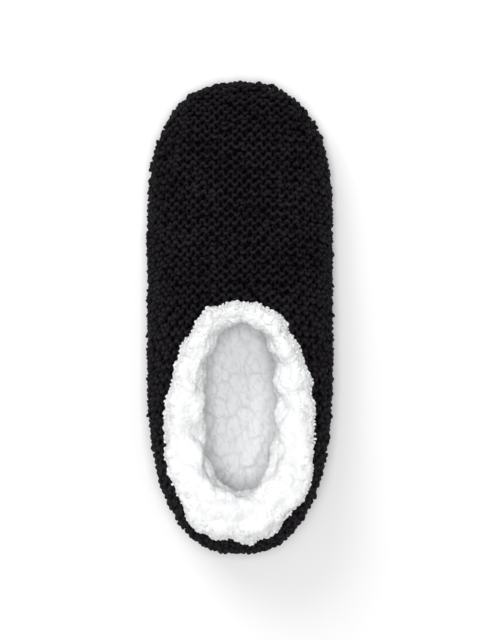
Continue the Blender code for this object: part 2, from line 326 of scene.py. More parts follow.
def cloth(name, colour, patch, fibre, mottle, bump, **plain):
    """A cloth: its colour times the grain's shade, the grain as bump, and plain shader values."""
    made = bpy.data.materials.new(name)
    made.use_nodes = True
    tree = made.node_tree
    shader = tree.nodes["Principled BSDF"]
    for key, value in plain.items():
        shader.inputs[key.replace("_", " ")].default_value = value
    grain = node(tree, "ShaderNodeGroup", {"Patch Size": patch, "Fibre Size": fibre, "Mottle": mottle},
                 node_tree=GRAIN)
    tint = node(tree, "ShaderNodeVectorMath", {0: colour, "Scale": grain.outputs["Shade"]},
                operation="SCALE", name="tint")
    relief = node(tree, "ShaderNodeBump", {"Height": grain.outputs["Height"], "Distance": bump},
                  name="relief")
    tree.links.new(tint.outputs[0], shader.inputs["Base Color"])
    tree.links.new(relief.outputs["Normal"], shader.inputs["Normal"])
    made.diffuse_color = (*colour, 1)
    return made


def shade_more(material, factor):
    """One more factor on a cloth's colour."""
    tree = material.node_tree
    scale = tree.nodes["tint"].inputs["Scale"]
    tree.links.new(maths(tree, "MULTIPLY", scale.links[0].from_socket, factor), scale)


def bump_more(material, height, depth):
    """One more bump on a cloth, under its grain."""
    tree = material.node_tree
    added = node(tree, "ShaderNodeBump", {"Height": height, "Distance": depth})
    tree.links.new(added.outputs["Normal"], tree.nodes["relief"].inputs["Normal"])


# %% The cloths
# Patch, fibre and bump are in metres, and mottle is a share of the colour.
BLACK = (0.0165, 0.0136, 0.0178)
WHITE = (0.915, 0.92, 0.93)
CHARCOAL = (0.031, 0.031, 0.033)
RUBBER = (0.045, 0.045, 0.048)
# IN_SHADOW darkens the yarn's colour for the wall behind the arcs. This is painted shade in the gaps
# between them.
IN_SHADOW = 0.15
# The yarn's strong mottle is partly its fibres' own uneven tone and partly painted glints of light on the
# fibres.
yarn_finish = cloth("black_yarn", BLACK, patch=0.020, fibre=0.0007, mottle=1.3, bump=0.0003,
                    Roughness=0.7, Specular_IOR_Level=0.10)
shadow_finish = cloth("black_yarn_painted_shade", tuple(c * IN_SHADOW for c in BLACK), patch=0.02, fibre=0.0008,
                      mottle=0.3, bump=0.0004, Roughness=1.0, Specular_IOR_Level=0.0)
fleece_finish = cloth("white_fleece", WHITE, patch=0.030, fibre=0.0008, mottle=0.03, bump=0.0003,
                      Roughness=0.95, Specular_IOR_Level=0.1, Sheen_Weight=0.1, Sheen_Roughness=0.5,
                      Subsurface_Weight=0.7, Subsurface_Scale=0.0020, Subsurface_Radius=(1, 1, 1))
sole_finish = cloth("sole_cloth", CHARCOAL, patch=0.030, fibre=0.0004, mottle=0.25, bump=0.0001,
                    Roughness=0.8, Specular_IOR_Level=0.3, Sheen_Weight=0.05, Sheen_Roughness=0.5)
dot_finish = cloth("grip_dots", RUBBER, patch=0.01, fibre=0.001, mottle=0.1, bump=0.00002,
                   Roughness=0.18, Specular_IOR_Level=0.6, Coat_Weight=0.5, Coat_Roughness=0.1)
print(f"finishes: {', '.join(m.name for m in bpy.data.materials)}")

# %% [markdown]
# ## Geometry Nodes, set up once
#
# Yarn loops, curls, dots and seam stitches all repeat, so Geometry Nodes make them. Each tree gets named
# inputs for its sizes. A modifier finds an input by its identifier and not by its name, so a helper looks
# the identifier up, sets every value before the first evaluation, and then turns the evaluated result
# into a plain mesh with the modifier gone.

# %% Helpers for the trees
KINDS = {float: "Float", int: "Int", tuple: "Vector"}


def new_tree(name, sizes):
    """A Geometry Nodes tree with a named input for each size and for its material."""
    kinds = {label: KINDS[type(value)] for label, value in sizes.items()}
    inputs = {"Geometry": "Geometry", **kinds, "Finish": "Material"}
    return new_group(name, "GeometryNodeTree", inputs, {"Geometry": "Geometry"})


def close_tree(tree, given, instances):
    """The end of every tree: real geometry, smooth, in its finish."""
    real = node(tree, "GeometryNodeRealizeInstances", {"Geometry": instances})
    soft = node(tree, "GeometryNodeSetShadeSmooth", {0: real.outputs[0]})
    finish = node(tree, "GeometryNodeSetMaterial",
                  {"Geometry": soft.outputs[0], "Material": given.outputs["Finish"]})
    node(tree, "NodeGroupOutput", {"Geometry": finish.outputs[0]})


def seats(name, points, out, way, stretch=None):
    """A cloud of seats: points that carry which way is out of the surface, which way is along it, and
    how much an instance is stretched in its own three directions."""
    mesh = bpy.data.meshes.new(name)
    mesh.from_pydata(np.asarray(points).tolist(), [], [])
    stretch = np.ones((len(points), 3)) if stretch is None else stretch
    for label, vectors in (("out", out), ("way", way), ("stretch", stretch)):
        stored = mesh.attributes.new(label, "FLOAT_VECTOR", "POINT")
        stored.data.foreach_set("vector", np.asarray(vectors, dtype=np.float32).ravel())
    return placed(name, mesh)


def grown(name, seat_rows, tree, sizes, finish):
    """The plain mesh that a tree grows on seats."""
    base = seats(f"{name}_seats", *seat_rows)
    modifier = base.modifiers.new("grow", "NODES")
    modifier.node_group = tree
    named = {item.name: item.identifier for item in tree.interface.items_tree if item.in_out == "INPUT"}
    for label, value in {**sizes, "Finish": finish}.items():
        modifier[named[label]] = value
    bpy.context.view_layer.update()
    mesh = bpy.data.meshes.new_from_object(base.evaluated_get(bpy.context.evaluated_depsgraph_get()))
    bpy.data.objects.remove(base)
    mesh.name = name
    triangles = sum(len(face.vertices) - 2 for face in mesh.polygons)
    print(f"{name}: {triangles} triangles")
    return placed(name, mesh)


def seated(tree, given, instance):
    """Instances on the seats, turned to them, each with its own small twist and size."""
    kind = "GeometryNodeInputNamedAttribute"
    out, way, stretch = (node(tree, kind, {"Name": label}, data_type="FLOAT_VECTOR").outputs["Attribute"]
                         for label in ("out", "way", "stretch"))
    twist, swell, seed = (given.outputs[label] for label in ("Twist", "Swell", "Seed"))
    seat_turn = node(tree, "FunctionNodeAxesToRotation", {"Primary Axis": out, "Secondary Axis": way},
                     primary_axis="Z", secondary_axis="X")
    wide = scaled(tree, (1, 1, 1), twist)
    spread = node(tree, "FunctionNodeRandomValue",
                  {"Min": scaled(tree, wide, -1), "Max": wide, "Seed": seed}, data_type="FLOAT_VECTOR")
    jitter = node(tree, "FunctionNodeEulerToRotation", {0: spread.outputs["Value"]})
    turn = node(tree, "FunctionNodeRotateRotation",
                {"Rotation": seat_turn.outputs[0], "Rotate By": jitter.outputs[0]}, rotation_space="LOCAL")
    low, high = maths(tree, "SUBTRACT", 1, swell), maths(tree, "ADD", 1, swell)
    size = node(tree, "FunctionNodeRandomValue", {2: low, 3: high, "Seed": seed}, data_type="FLOAT")
    place = node(tree, "GeometryNodeInstanceOnPoints",
                 {"Points": given.outputs["Geometry"], "Instance": instance, "Rotation": turn.outputs[0],
                  "Scale": scaled(tree, stretch, size.outputs[1])})
    return place.outputs[0]


# %% [markdown]
# ## The knit
#
# The upper is garter stitch: every row is worked the same way, so the outside shows ridges of bumps. In a
# ridge the yarn runs as a wave, up over one loop and down under the next. Between two ridges it dips and
# only its slanting legs show. The two waves share their bends, so dark holes are left in a chequer.
#
# The rows are laid as a knitter would: across the vamp from edge to edge, each a little rounder than
# straight, and down the quarters from the collar, fanning out around the heel. Every row is a plane cut of
# the skin, so rays shot in that plane find its path, and arcs are seated on it a stitch apart.

# %% Paths of the rows
STITCH = 0.0050
ROW = 0.00255
BOW = 0.011
FULLY_BOWED = 30       # the first row from the toe that has the whole bow
TOE_ROWS = 26          # rows whose feet share out the round of the toe
FAN_CENTRE = -0.062
RAYS = 90
RAY_HEIGHT, VAMP_DEEP, QUARTER_DEEP = 0.35, 0.45, 0.014

middle_line = SKIN[:, 0]
sole_edge = SKIN[0, : len(PLACES)]
collar_edge = SKIN[-1, : len(PLACES)]
sole_way = travelled(sole_edge)
vamp_rows = int(travelled(middle_line)[-1] / ROW)


def row_path(foot, top, into, deep):
    """The path of a row on the skin from its top to its foot, in the plane of both and the way in."""
    across = -into
    up = top - foot
    up = up - across * up.dot(across)
    up = up / np.linalg.norm(up)
    centre = foot + into * deep + up * np.linalg.norm(top - foot) * RAY_HEIGHT
    ends = [math.atan2((end - centre).dot(up), (end - centre).dot(across)) for end in (foot, top)]
    path = [foot]
    for turn in np.linspace(*ends, RAYS)[1:-1]:
        ray = across * math.cos(turn) + up * math.sin(turn)
        spot = skin_tree.ray_cast(Vector(centre), Vector(ray))[0]
        if spot is not None:
            path.append(np.array(spot))
    path.append(top)
    return np.array(path)[::-1]


def vamp_paths():
    """Rows across the vamp, as right halves from the middle line down to the sole's edge."""
    tops = walk(middle_line, np.arange(1, vamp_rows + 1) * ROW)
    bow = BOW * np.clip(np.arange(vamp_rows) / FULLY_BOWED, 0, 1)
    wanted = tops[:, 1] - bow
    feet_way = np.interp(-wanted, -sole_edge[:, 1], sole_way)
    feet_way[:TOE_ROWS] = np.linspace(ROW, feet_way[TOE_ROWS], TOE_ROWS, endpoint=False)
    feet = walk(sole_edge, feet_way)
    into = np.array([-1.0, 0, 0])
    paths = [row_path(foot, top, into, VAMP_DEEP * foot[0]) for foot, top in zip(feet, tops)]
    return paths, feet_way[-1]


def quarter_paths(start):
    """Rows of the right quarter and half the heel, from the collar down to the sole's edge, with the
    place of each along the stitch pattern."""
    count = int((sole_way[-1] - start) / ROW)
    step = (sole_way[-1] - start) / count
    feet = walk(sole_edge, start + (np.arange(count) + 1) * step)
    paths, phases, phase, before = [], [], 0.0, middle_line[-1]
    collar_turn = np.arctan2(collar_edge[:, 0], -(collar_edge[:, 1] - FAN_CENTRE))
    lean = BOW / (feet[0, 1] - FAN_CENTRE)
    stations = np.arange(len(collar_edge))
    for foot in feet:
        if foot[1] > FAN_CENTRE:
            into = np.array([-1.0, 0, 0])
            top_y = foot[1] + lean * (foot[1] - FAN_CENTRE)
            share = np.interp(-top_y, -collar_edge[:, 1], stations)
        else:
            out = np.array([foot[0], foot[1] - FAN_CENTRE])
            into = -np.array([*out, 0]) / np.linalg.norm(out)
            turn = math.atan2(foot[0], -(foot[1] - FAN_CENTRE))
            share = np.interp(-turn, -collar_turn, stations)
        top = np.array([np.interp(share, stations, collar_edge[:, k]) for k in range(3)])
        phase += (top - before).dot(-into)
        before = top
        paths.append(row_path(foot, top, into, QUARTER_DEEP))
        phases.append(phase)
    return paths, phases


vamp, vamp_end = vamp_paths()
quarter, quarter_phases = quarter_paths(vamp_end)
print(f"{len(vamp)} rows over the vamp and {len(quarter)} down each quarter")

# %% [markdown]
# Each arc of yarn gets a seat: a point just under the skin, which way is out and which way the row runs.
# The arcs of a row turn over by turns, up and down, and neighbours share their feet. So the row is one
# wave of yarn, and a little random wander keeps it from looking like a machine's.

# %% Seats of the yarn arcs
SIT = -0.0015
WANDER = 0.0004
ROW_END, BESIDE = 0.0006, 0.001
ROOM = (0.7, 1.6)


def arc_seats(paths, phases, first_row, dips, whole):
    """Seats half a stitch apart along every second row: the ridges, or the dips between them. Every
    other arc is turned over. Rows start at the middle line and whole rows have one arc on it."""
    random = np.random.default_rng(11 + first_row + dips)
    points, out, way, stretch = [], [], [], []
    for k in range((first_row + dips) % 2, len(paths), 2):
        path, phase = paths[k], phases[k]
        before, after = paths[max(k - 1, 0)], paths[min(k + 1, len(paths) - 1)]
        last = 2 * (phase + travelled(path)[-1] - ROW_END) / STITCH
        numbers = np.arange(math.ceil(2 * phase / STITCH), last).astype(int)
        along = numbers * STITCH / 2 - phase
        for number, place, spot in zip(numbers, along, walk(path, along)):
            near, normal = skin_tree.find_nearest(Vector(spot))[:2]
            normal = np.array(normal)
            ahead, behind = walk(path, [place + BESIDE, place - BESIDE])
            tangent = ahead - behind
            tangent -= normal * tangent.dot(normal)
            tangent *= (-1) ** (number + dips) / np.linalg.norm(tangent)
            sides = [1] if whole and abs(place) < 1e-6 else [1, TURNED]
            gaps = [np.linalg.norm(other - spot, axis=1).min() for other in (before, after)]
            room = np.clip(max(gaps) / ROW, *ROOM)
            for side in sides:
                shift = random.normal(0, WANDER, 3)
                points.append((np.array(near) + normal * SIT) * side + shift)
                out.append(normal * side)
                way.append(tangent * side * (-1 if side is TURNED else 1))
                stretch.append((1, room, 1))
    return points, out, way, stretch


# %% The tree that knits
RIDGE_SIZES = {
    "Left Foot": (-0.00126, 0.0, -0.0003),
    "Crown": (0.0005, 0.0027, 0.0021),
    "Right Foot": (0.00126, 0.0, -0.0003),
    "Yarn Radius": 0.0009,
    "Twist": 0.12,
    "Swell": 0.14,
    "Seed": 3,
}
DIP_SIZES = {**RIDGE_SIZES, "Crown": (0.0005, 0.0026, -0.0012), "Left Foot": (-0.00126, 0.0, 0.0002),
             "Right Foot": (0.00126, 0.0, 0.0002)}


def yarn_tree(name, steps, sides):
    """Arcs of yarn on seats. The mesh keeps a ply attribute, around the yarn and along it, and how
    high each point lies over its seat."""
    tree, given = new_tree(name, RIDGE_SIZES)
    arc = node(tree, "GeometryNodeCurveQuadraticBezier",
               {"Resolution": steps, "Start": given.outputs["Left Foot"],
                "Middle": given.outputs["Crown"], "End": given.outputs["Right Foot"]})
    rim = node(tree, "GeometryNodeCurvePrimitiveCircle",
               {"Resolution": sides, "Radius": given.outputs["Yarn Radius"]})
    kept = []
    for curve in (arc, rim):
        where = node(tree, "GeometryNodeSplineParameter")
        keep = node(tree, "GeometryNodeCaptureAttribute")
        keep.capture_items.new("FLOAT", "Factor")
        tree.links.new(curve.outputs["Curve"], keep.inputs["Geometry"])
        tree.links.new(where.outputs["Factor"], keep.inputs["Factor"])
        kept.append(keep.outputs)
    along, around = kept
    tube = node(tree, "GeometryNodeCurveToMesh",
                {"Curve": along["Geometry"], "Profile Curve": around["Geometry"], "Fill Caps": True})
    angle = maths(tree, "MULTIPLY", around["Factor"], 2 * math.pi)
    ply = node(tree, "ShaderNodeCombineXYZ",
               {0: maths(tree, "COSINE", angle), 1: maths(tree, "SINE", angle), 2: along["Factor"]})
    spot = node(tree, "GeometryNodeInputPosition")
    height = node(tree, "ShaderNodeSeparateXYZ", {0: spot.outputs[0]})
    mesh = tube.outputs["Mesh"]
    for label, kind, value in (("ply", "FLOAT_VECTOR", ply.outputs[0]),
                               ("height", "FLOAT", height.outputs[2])):
        store = node(tree, "GeometryNodeStoreNamedAttribute",
                     {"Geometry": mesh, "Name": label, "Value": value}, data_type=kind, domain="POINT")
        mesh = store.outputs["Geometry"]
    close_tree(tree, given, seated(tree, given, mesh))
    return tree


RIDGE_TREE = yarn_tree("ridge_arcs", 6, 6)
DIP_TREE = yarn_tree("dip_arcs", 5, 5)

# %% [markdown]
# The yarn itself is plied: two strands twisted around each other. The tree stores where each point lies
# around and along its arc, as the cosine and sine of an angle and a length. A wave of those runs round the
# yarn as a spiral with no seam, and lifts the bump between the strands. The stored height gives the colour
# painted shade and painted highlight: darker low down between the arcs, lighter on their crowns.

# %% The ply, and painted shade and highlight by height, in the yarn's finish
PLY_TURNS = 3.2
DEEP_PAINTED_SHADE, TOP_PAINTED_LIGHT = 0.08, 1.15


def add_ply_and_painted_shade(material, depth, low, high):
    """A spiral groove from the ply attribute, and painted shade and highlight: a colour that darkens from a
    high to a low height.
    """
    tree = material.node_tree
    ply = node(tree, "ShaderNodeAttribute", attribute_name="ply")
    cosine, sine, along = node(tree, "ShaderNodeSeparateXYZ", {0: ply.outputs["Vector"]}).outputs
    turn = maths(tree, "MULTIPLY", along, 2 * math.pi * PLY_TURNS)
    across = maths(tree, "MULTIPLY", maths(tree, "COSINE", turn), cosine)
    up = maths(tree, "MULTIPLY", maths(tree, "SINE", turn), sine)
    bump_more(material, maths(tree, "ABSOLUTE", maths(tree, "ADD", across, up)), depth)
    height = node(tree, "ShaderNodeAttribute", attribute_name="height")
    # Painted shade and highlight: the low parts of each arc are darker and its crown is lighter than the
    # yarn's colour.
    fade = node(tree, "ShaderNodeMapRange",
                {"Value": height.outputs["Fac"], "From Min": low, "From Max": high,
                 "To Min": DEEP_PAINTED_SHADE, "To Max": TOP_PAINTED_LIGHT}, interpolation_type="SMOOTHSTEP")
    shade_more(material, fade.outputs["Result"])


add_ply_and_painted_shade(yarn_finish, depth=0.0004, low=-0.0006, high=0.0018)

# %% Knit the vamp and the quarters
knit_pieces = []
for part, paths, phases, first_row, whole in (
        ("vamp", vamp, [0.0] * len(vamp), 0, True),
        ("quarter", quarter, quarter_phases, len(vamp), False)):
    for dips, (kind, tree, sizes) in enumerate((("ridges", RIDGE_TREE, RIDGE_SIZES),
                                                ("dips", DIP_TREE, DIP_SIZES))):
        arcs = arc_seats(paths, phases, first_row, dips, whole)
        knit_pieces.append(grown(f"{part}_{kind}", arcs, tree, sizes, yarn_finish))

# %% [markdown]
# Under the arcs lies the rest of the cloth, which shows only as darkness between them. A plain wall just
# below the skin does that. It has the yarn's finish darkened as painted shade, and its inner side gives the
# knit its thickness. Its foot comes down to the sole, so that nothing white shows through at the edge.

# %% The wall behind the knit
BACK_DEPTH = 0.0024
back_rings = SKIN[::2, ::2]
back_out = outward(back_rings)
level_in = -back_out[:1] * [1, 1, 0]
level_in /= np.linalg.norm(level_in, axis=2)[:, :, None]
wall_rings = np.concatenate([back_rings[:1] + level_in * BACK_DEPTH / 2, back_rings - back_out * BACK_DEPTH,
                             (back_rings - back_out * WALL)[::-1], back_rings[:1] + level_in * WALL])
knit_wall = shell("knit_wall", wall_rings, shadow_finish)

# %% [markdown]
# ## The fleece
#
# Curly pile reads as three sizes of form: a soft overall roll, small rounded nubs with creases between
# them, and curls that stick out. The roll is a surface through the same anchors as the frame's cuff. The
# nubs are cells around scattered centres: each point rises by how much nearer it is to its own centre than
# to the next one. The curls are short arcs from the yarn's own tree.

# %% Nubs
noise.seed_set(5)        # without a seed, noise_vector starts from the clock
# For each size of cushion its shares of the height and of the distance apart, and its bend.
CUSHIONS = ((0.7, 1.0, 0.35), (0.3, 0.55, 0.5))
RIM_WIDTH, PILLOW_WIDTH = 0.30, 0.9
FADE_MEAN, FADE_SPAN, FADE_LEAST = 0.75, 0.9, 0.15
LOWEST, HIGHER, GOLDEN = 0.6, 0.8, 0.618034


def scattered(points, apart, seed):
    """Which of the points to choose, at random but never closer together than apart."""
    random = np.random.default_rng(seed)
    cell, chosen = {}, []
    for index in random.permutation(len(points)):
        spot = points[index]
        key = tuple((spot // apart).astype(int))
        near = [other for i in (-1, 0, 1) for j in (-1, 0, 1) for k in (-1, 0, 1)
                for other in cell.get((key[0] + i, key[1] + j, key[2] + k), ())]
        if all(np.linalg.norm(spot - other) >= apart for other in near):
            cell.setdefault(key, []).append(spot)
            chosen.append(index)
    return np.array(chosen)


def nearest_two(points, apart, seed, bend):
    """For each point its own cell among scattered centres, and its distances to the nearest two."""
    centres = points[scattered(points, apart, seed)]
    tree = KDTree(len(centres))
    for index, centre in enumerate(centres):
        tree.insert(centre, index)
    tree.balance()
    cells = np.empty((len(points), 3))
    for index, spot in enumerate(points):
        warp = noise.noise_vector(Vector(spot) / (0.7 * apart)) * (bend * apart)
        (_, one, near), (_, _, far) = tree.find_n(Vector(spot) + warp, 2)
        cells[index] = one, near, far
    print(f"{len(centres)} cushions")
    return cells.T


def nubs(points, apart, height, seed, length=1.0, fuzz=0.14):
    """How far each point rises, and how deep it lies in a crease: soft cushions, longer lengthwise by
    some share. Small cushions sit on large ones, creases fade in and out along their way, and a fine
    fuzz covers all."""
    flat = points.reshape(-1, 3) / np.array([1, length, 1])
    lift, crease = np.zeros(len(flat)), np.zeros(len(flat))
    for share, closer_by, bend in CUSHIONS:
        size = closer_by * apart
        one, near, far = nearest_two(flat, size, seed + int(100 * share), bend)
        fade = np.array([noise.noise(Vector(spot) / (1.3 * size) + Vector((7, 3, seed))) for spot in flat])
        fade = np.clip(FADE_MEAN + FADE_SPAN * fade, FADE_LEAST, 1)
        rim = np.clip((far - near) / (RIM_WIDTH * size), 0, 1)
        rim = 1 - (1 - rim * (2 - rim)) * fade
        own = LOWEST + HIGHER * ((one * GOLDEN) % 1)
        pillow = np.clip(1 - (near / (PILLOW_WIDTH * size)) ** 2, 0, 1)
        lift += share * height * own * (0.5 * rim + 0.5 * pillow)
        crease = np.maximum(crease, (1 - rim) * (0.6 + 0.4 * share))
    fine = np.array([noise.fractal(Vector(spot) / (0.2 * apart), 1.0, 2.0, 2) for spot in flat])
    lift += fuzz * height * fine
    return lift.reshape(points.shape[:-1]), crease


def add_crease_shade(made, crease):
    """How much painted shade each point gets, mostly from its depth in a crease, kept on the mesh for the
    finish.
    """
    stored = made.data.attributes.new("crease", "FLOAT", "POINT")
    stored.data.foreach_set("value", crease.astype(np.float32))


def paint_crease_shade(material, depth):
    """Painted shade in the creases: the colour times one less a share of the crease."""
    tree = material.node_tree
    crease = node(tree, "ShaderNodeAttribute", attribute_name="crease")
    shade_more(material, maths(tree, "MULTIPLY_ADD", crease.outputs["Fac"], -depth, 1))


# Painted shade in the fleece's creases, on the cuff, the lining and the footbed.
paint_crease_shade(fleece_finish, depth=0.30)

# %% [markdown]
# The cuff wraps the collar: its lip lies on the knit outside, the roll stands over the edge, and a skirt
# hangs inside. Its section changes on the way round, narrow at the throat and deep behind the heel. A
# hidden back along the knit closes it, so that the mesh has a thickness everywhere.

# %% The cuff's surface
CUFF_BAND, CUFF_RISE, CUFF_LIP, CUFF_PILE = 0.023, 0.0085, 0.0025, 0.0025
CUFF_HANG, CUFF_SKIRT = 0.020, 0.007
CUFF_SECTIONS = {
    "at": (0.00, 0.20, 0.40, 0.55, 0.75, 1.00),
    "band": (0.30, 0.46, 0.72, 0.82, 0.86, 1.00),
    "rise": (0.55, 0.75, 0.95, 1.00, 1.05, 1.15),
}
CUFF_ROLL = {
    "out": (0.8, 0.0, 0.0, 0.0, 0.0),
    "band": (0.0, 0.35, 0.75, 1.0, 0.8),
    "rise": (0.55, 1.0, 0.65, -0.4, -1.7),
}
CUFF_NUB, CUFF_NUB_HEIGHT = 0.0048, 0.0014
CUFF_UNEVEN, CUFF_LUMP = 0.0036, 0.0095
CUFF_FUZZ, CUFF_CREASE_SHADE, CUFF_BACK = 0.4, 0.25, 0.0006
CUFF_TRIM, TRIM_REACH, TRIM_ENDS, TRIM_FADES = 0.0018, 0.35, 0.004, 0.016
LOOSE_HEEL, LOOSE_THROAT = 1.5, 0.7


def even_on_collar(count):
    """Places on the widest line whose stations end evenly spaced on the collar."""
    dense = np.linspace(0, 1, SAMPLES)
    return np.interp(np.linspace(0, 1, count), collar_share(dense), dense)


def below_collar(rings, normals, distance):
    """Points and outward directions a distance down from the collar, along each station."""
    read = []
    for j in range(rings.shape[1]):
        way = travelled(rings[::-1, j])
        read.append([[np.interp(distance, way, grid[::-1, j, k]) for k in range(3)]
                     for grid in (rings, normals)])
    return np.array(read).transpose(1, 0, 2)


def through(anchors, count):
    """Rows of points on a smooth curve through the anchors, evenly spread over their spans."""
    anchors = np.array(anchors)
    padded = np.concatenate([[2 * anchors[0] - anchors[1]], anchors, [2 * anchors[-1] - anchors[-2]]])
    spans = np.linalg.norm(np.diff(anchors, axis=0), axis=2).mean(axis=1)
    way = np.concatenate([[0], np.cumsum(spans)])
    rows = []
    for place in np.linspace(0, way[-1], count):
        i = min(np.searchsorted(way, place, side="right") - 1, len(spans) - 1)
        t = (place - way[i]) / spans[i]
        a, b, c, d = padded[i : i + 4]
        rows.append(0.5 * (2 * b + (c - a) * t + (2 * a - 5 * b + 4 * c - d) * t**2
                           + (3 * b - a - 3 * c + d) * t**3))
    return np.array(rows)


def cuff_surface(stations=281, rows=104):
    """The fleece face of the cuff, from its lip outside to the end of its skirt inside, and the rings of
    its hidden back, from the skirt up along the knit and over the collar to the lip."""
    places = even_on_collar(stations)
    rings = skin(places, 12, 60)
    normals = outward(rings)
    (rim, rim_out), (lip, lip_out), (skirt, skirt_out) = (
        below_collar(rings, normals, distance) for distance in (0, CUFF_LIP, CUFF_HANG))
    ends = walk_shares(collar_line(), collar_share(places))
    inside = mirrored(np.column_stack([inwards(ends), np.zeros(stations)]))
    around = np.concatenate([collar_share(places), collar_share(places)[1:-1][::-1]])
    band = CUFF_BAND * smooth(CUFF_SECTIONS, "band", around)[:, None] * inside
    rise = CUFF_RISE * smooth(CUFF_SECTIONS, "rise", around)[:, None] * np.array([[0, 0, 1]])
    roll = [rim + rim_out * CUFF_PILE * pile + band * across + rise * up
            for pile, across, up in zip(CUFF_ROLL["out"], CUFF_ROLL["band"], CUFF_ROLL["rise"])]
    anchors = [lip + lip_out * GAP, lip + lip_out * CUFF_PILE * 0.8, *roll,
               skirt - skirt_out * (WALL + CUFF_SKIRT)]
    back = [skirt - skirt_out * (WALL + CUFF_BACK), rim - rim_out * (WALL + CUFF_BACK),
            rim + np.array([0, 0, CUFF_BACK])]
    return through(anchors, rows), np.array(back)


cuff_face, cuff_back = cuff_surface()
cuff_lift, cuff_crease = nubs(cuff_face, CUFF_NUB, CUFF_NUB_HEIGHT, 21, fuzz=CUFF_FUZZ)
cuff_lift -= CUFF_NUB_HEIGHT * 0.5
closer = np.interp(np.linspace(0, 1, len(cuff_face)), (0, TRIM_REACH), (CUFF_TRIM, 0))[:, None]
cuff_lift -= closer * np.interp(cuff_face[:, :, 1], (THROAT - TRIM_FADES, THROAT - TRIM_ENDS), (1, 0))
uneven = np.array([noise.noise(Vector(spot) / CUFF_LUMP) for spot in cuff_face.reshape(-1, 3)])
looser = np.interp(cuff_face[:, :, 1], (HEEL_TIP, THROAT), (LOOSE_HEEL, LOOSE_THROAT))
cuff_lift += CUFF_UNEVEN * looser * uneven.reshape(cuff_lift.shape)
cuff_points = np.concatenate([cuff_face + outward(cuff_face) * cuff_lift[:, :, None], cuff_back])
cuff_fleece = shell("cuff_fleece", cuff_points, fleece_finish)
add_crease_shade(cuff_fleece, CUFF_CREASE_SHADE * np.append(cuff_crease, np.zeros(cuff_back[:, :, 0].size)))

# %% [markdown]
# Along its lip the real pile ends in small curls against the black knit. Hair would be too fine to see
# and too heavy. So the tree of the knit's dips grows short white arcs here, turned any way, which sink
# deeper into the pile with every row until they are gone.

# %% Curls that stick out of the pile
CURL_APART, CURL_ROWS, CURL_SINK = 0.0017, 20, 0.0013
CURL_SIZES = {
    "Left Foot": (-0.0010, 0.0, -0.0006),
    "Crown": (0.0, 0.0007, 0.0018),
    "Right Foot": (0.0010, 0.0, -0.0006),
    "Yarn Radius": 0.0006,
    "Twist": 0.5,
    "Swell": 0.3,
    "Seed": 7,
}


def curl_seats():
    """Seats scattered over the cuff, each turned its own way. They stand on its lip and sink ever
    deeper into the pile further in, where the cuff is smooth."""
    rows = cuff_points[:CURL_ROWS]
    spots, out = rows.reshape(-1, 3), outward(rows).reshape(-1, 3)
    random = np.random.default_rng(8)
    chosen = scattered(spots, CURL_APART, 31)
    sunk = CURL_SINK * (chosen / len(spots)) ** 1.5
    way = np.cross(out[chosen], random.normal(size=(len(chosen), 3)))
    way /= np.linalg.norm(way, axis=1)[:, None]
    return spots[chosen] - out[chosen] * sunk[:, None], out[chosen], way


cuff_curls = grown("cuff_curls", curl_seats(), DIP_TREE, CURL_SIZES, fleece_finish)

# %% [markdown]
# The same pile lines the knit inside, from behind the cuff's skirt down to the footbed, and covers the
# footbed itself. Both are seen only through the mouth of the cuff, so they get nubs but no curls. The
# lining is a closed shell, whose lower edge is tucked in over the footbed so that no gap shows.

# %% The lining
LINING_PILE, LINING_NUB, LINING_NUB_HEIGHT = 0.0045, 0.0070, 0.0020
LINING_FOOT, FIRST_RING, LAST_RING, BACK_STEP = 0.003, 2, -8, 6
TUCK = [0.93, 0.98, 1]
inner = SKIN - SKIN_OUT * (WALL + GAP + LINING_PILE)
floor_top = on_sole(inner[:, :, 1]) + LINING_FOOT
inner[:, :, 2] = np.maximum(inner[:, :, 2], floor_top)
lining_face = inner[FIRST_RING:LAST_RING][::-1]
lining_lift, lining_crease = nubs(lining_face, LINING_NUB, LINING_NUB_HEIGHT, 22)
tuck = inner[FIRST_RING] * TUCK
tuck[:, 2] = floor_top[FIRST_RING]
lining_back = (SKIN - SKIN_OUT * (WALL + GAP))[FIRST_RING:LAST_RING:BACK_STEP]
lining_points = np.concatenate([lining_face + outward(lining_face) * lining_lift[:, :, None],
                                tuck[None], lining_back])
lining = shell("fleece_lining", lining_points, fleece_finish)
add_crease_shade(lining, np.append(lining_crease, np.zeros(tuck[:, 0].size + lining_back[:, :, 0].size)))

# %% The footbed
INSOLE_THICKNESS, INSOLE_CROWN, FOOT_WIDTH = 0.006, 0.0012, 0.0036
BED_NUB, BED_NUB_HEIGHT, BED_NUB_LENGTH = 0.0062, 0.0024, 1.5
BED_EDGE, BED_COLUMNS, PLATE_ENDS = 0.0018, 84, (0.002, 0.998)
BED_PAINTED_SHADE, FLAT_RIM = 0.25, 4


def bar_faces(rows, columns):
    """The faces of a bar of closed sections, with a cap at each end."""
    last = (rows - 1) * columns
    caps = [list(range(columns))[::-1], list(range(last, last + columns))]
    return [face[::-1] for face in ring_faces(rows, columns)] + caps


def plate(line, bottom, thickness, edge, crown, columns):
    """Closed sections of a plate from the toe to the heel, with a rounded rim. The first half of each
    section is its lower face, the second its upper face."""
    across = np.linspace(-1, 1, columns)
    round_turn = np.linspace(0, math.pi / 2, 4)[1:-1]
    sections = []
    for half, y in line:
        low, high = bottom(y), bottom(y) + thickness
        flat = max(half - edge, 0.0) * across
        corner = min(edge, half)
        right = [(flat[-1] + corner * math.sin(t), low + edge * (1 - math.cos(t))) for t in round_turn]
        right += [(flat[-1] + corner, low + edge), (flat[-1] + corner, high - edge)]
        right += [(flat[-1] + corner * math.cos(t), high - edge * (1 - math.sin(t))) for t in round_turn]
        left = [(-x, z) for x, z in right[::-1]]
        top = [(x, high + crown * (1 - (x / half) ** 2)) for x in flat[::-1]]
        loop = [(x, low) for x in flat] + right + top + left
        sections.append([(x, y, z) for x, z in loop])
    return np.array(sections)


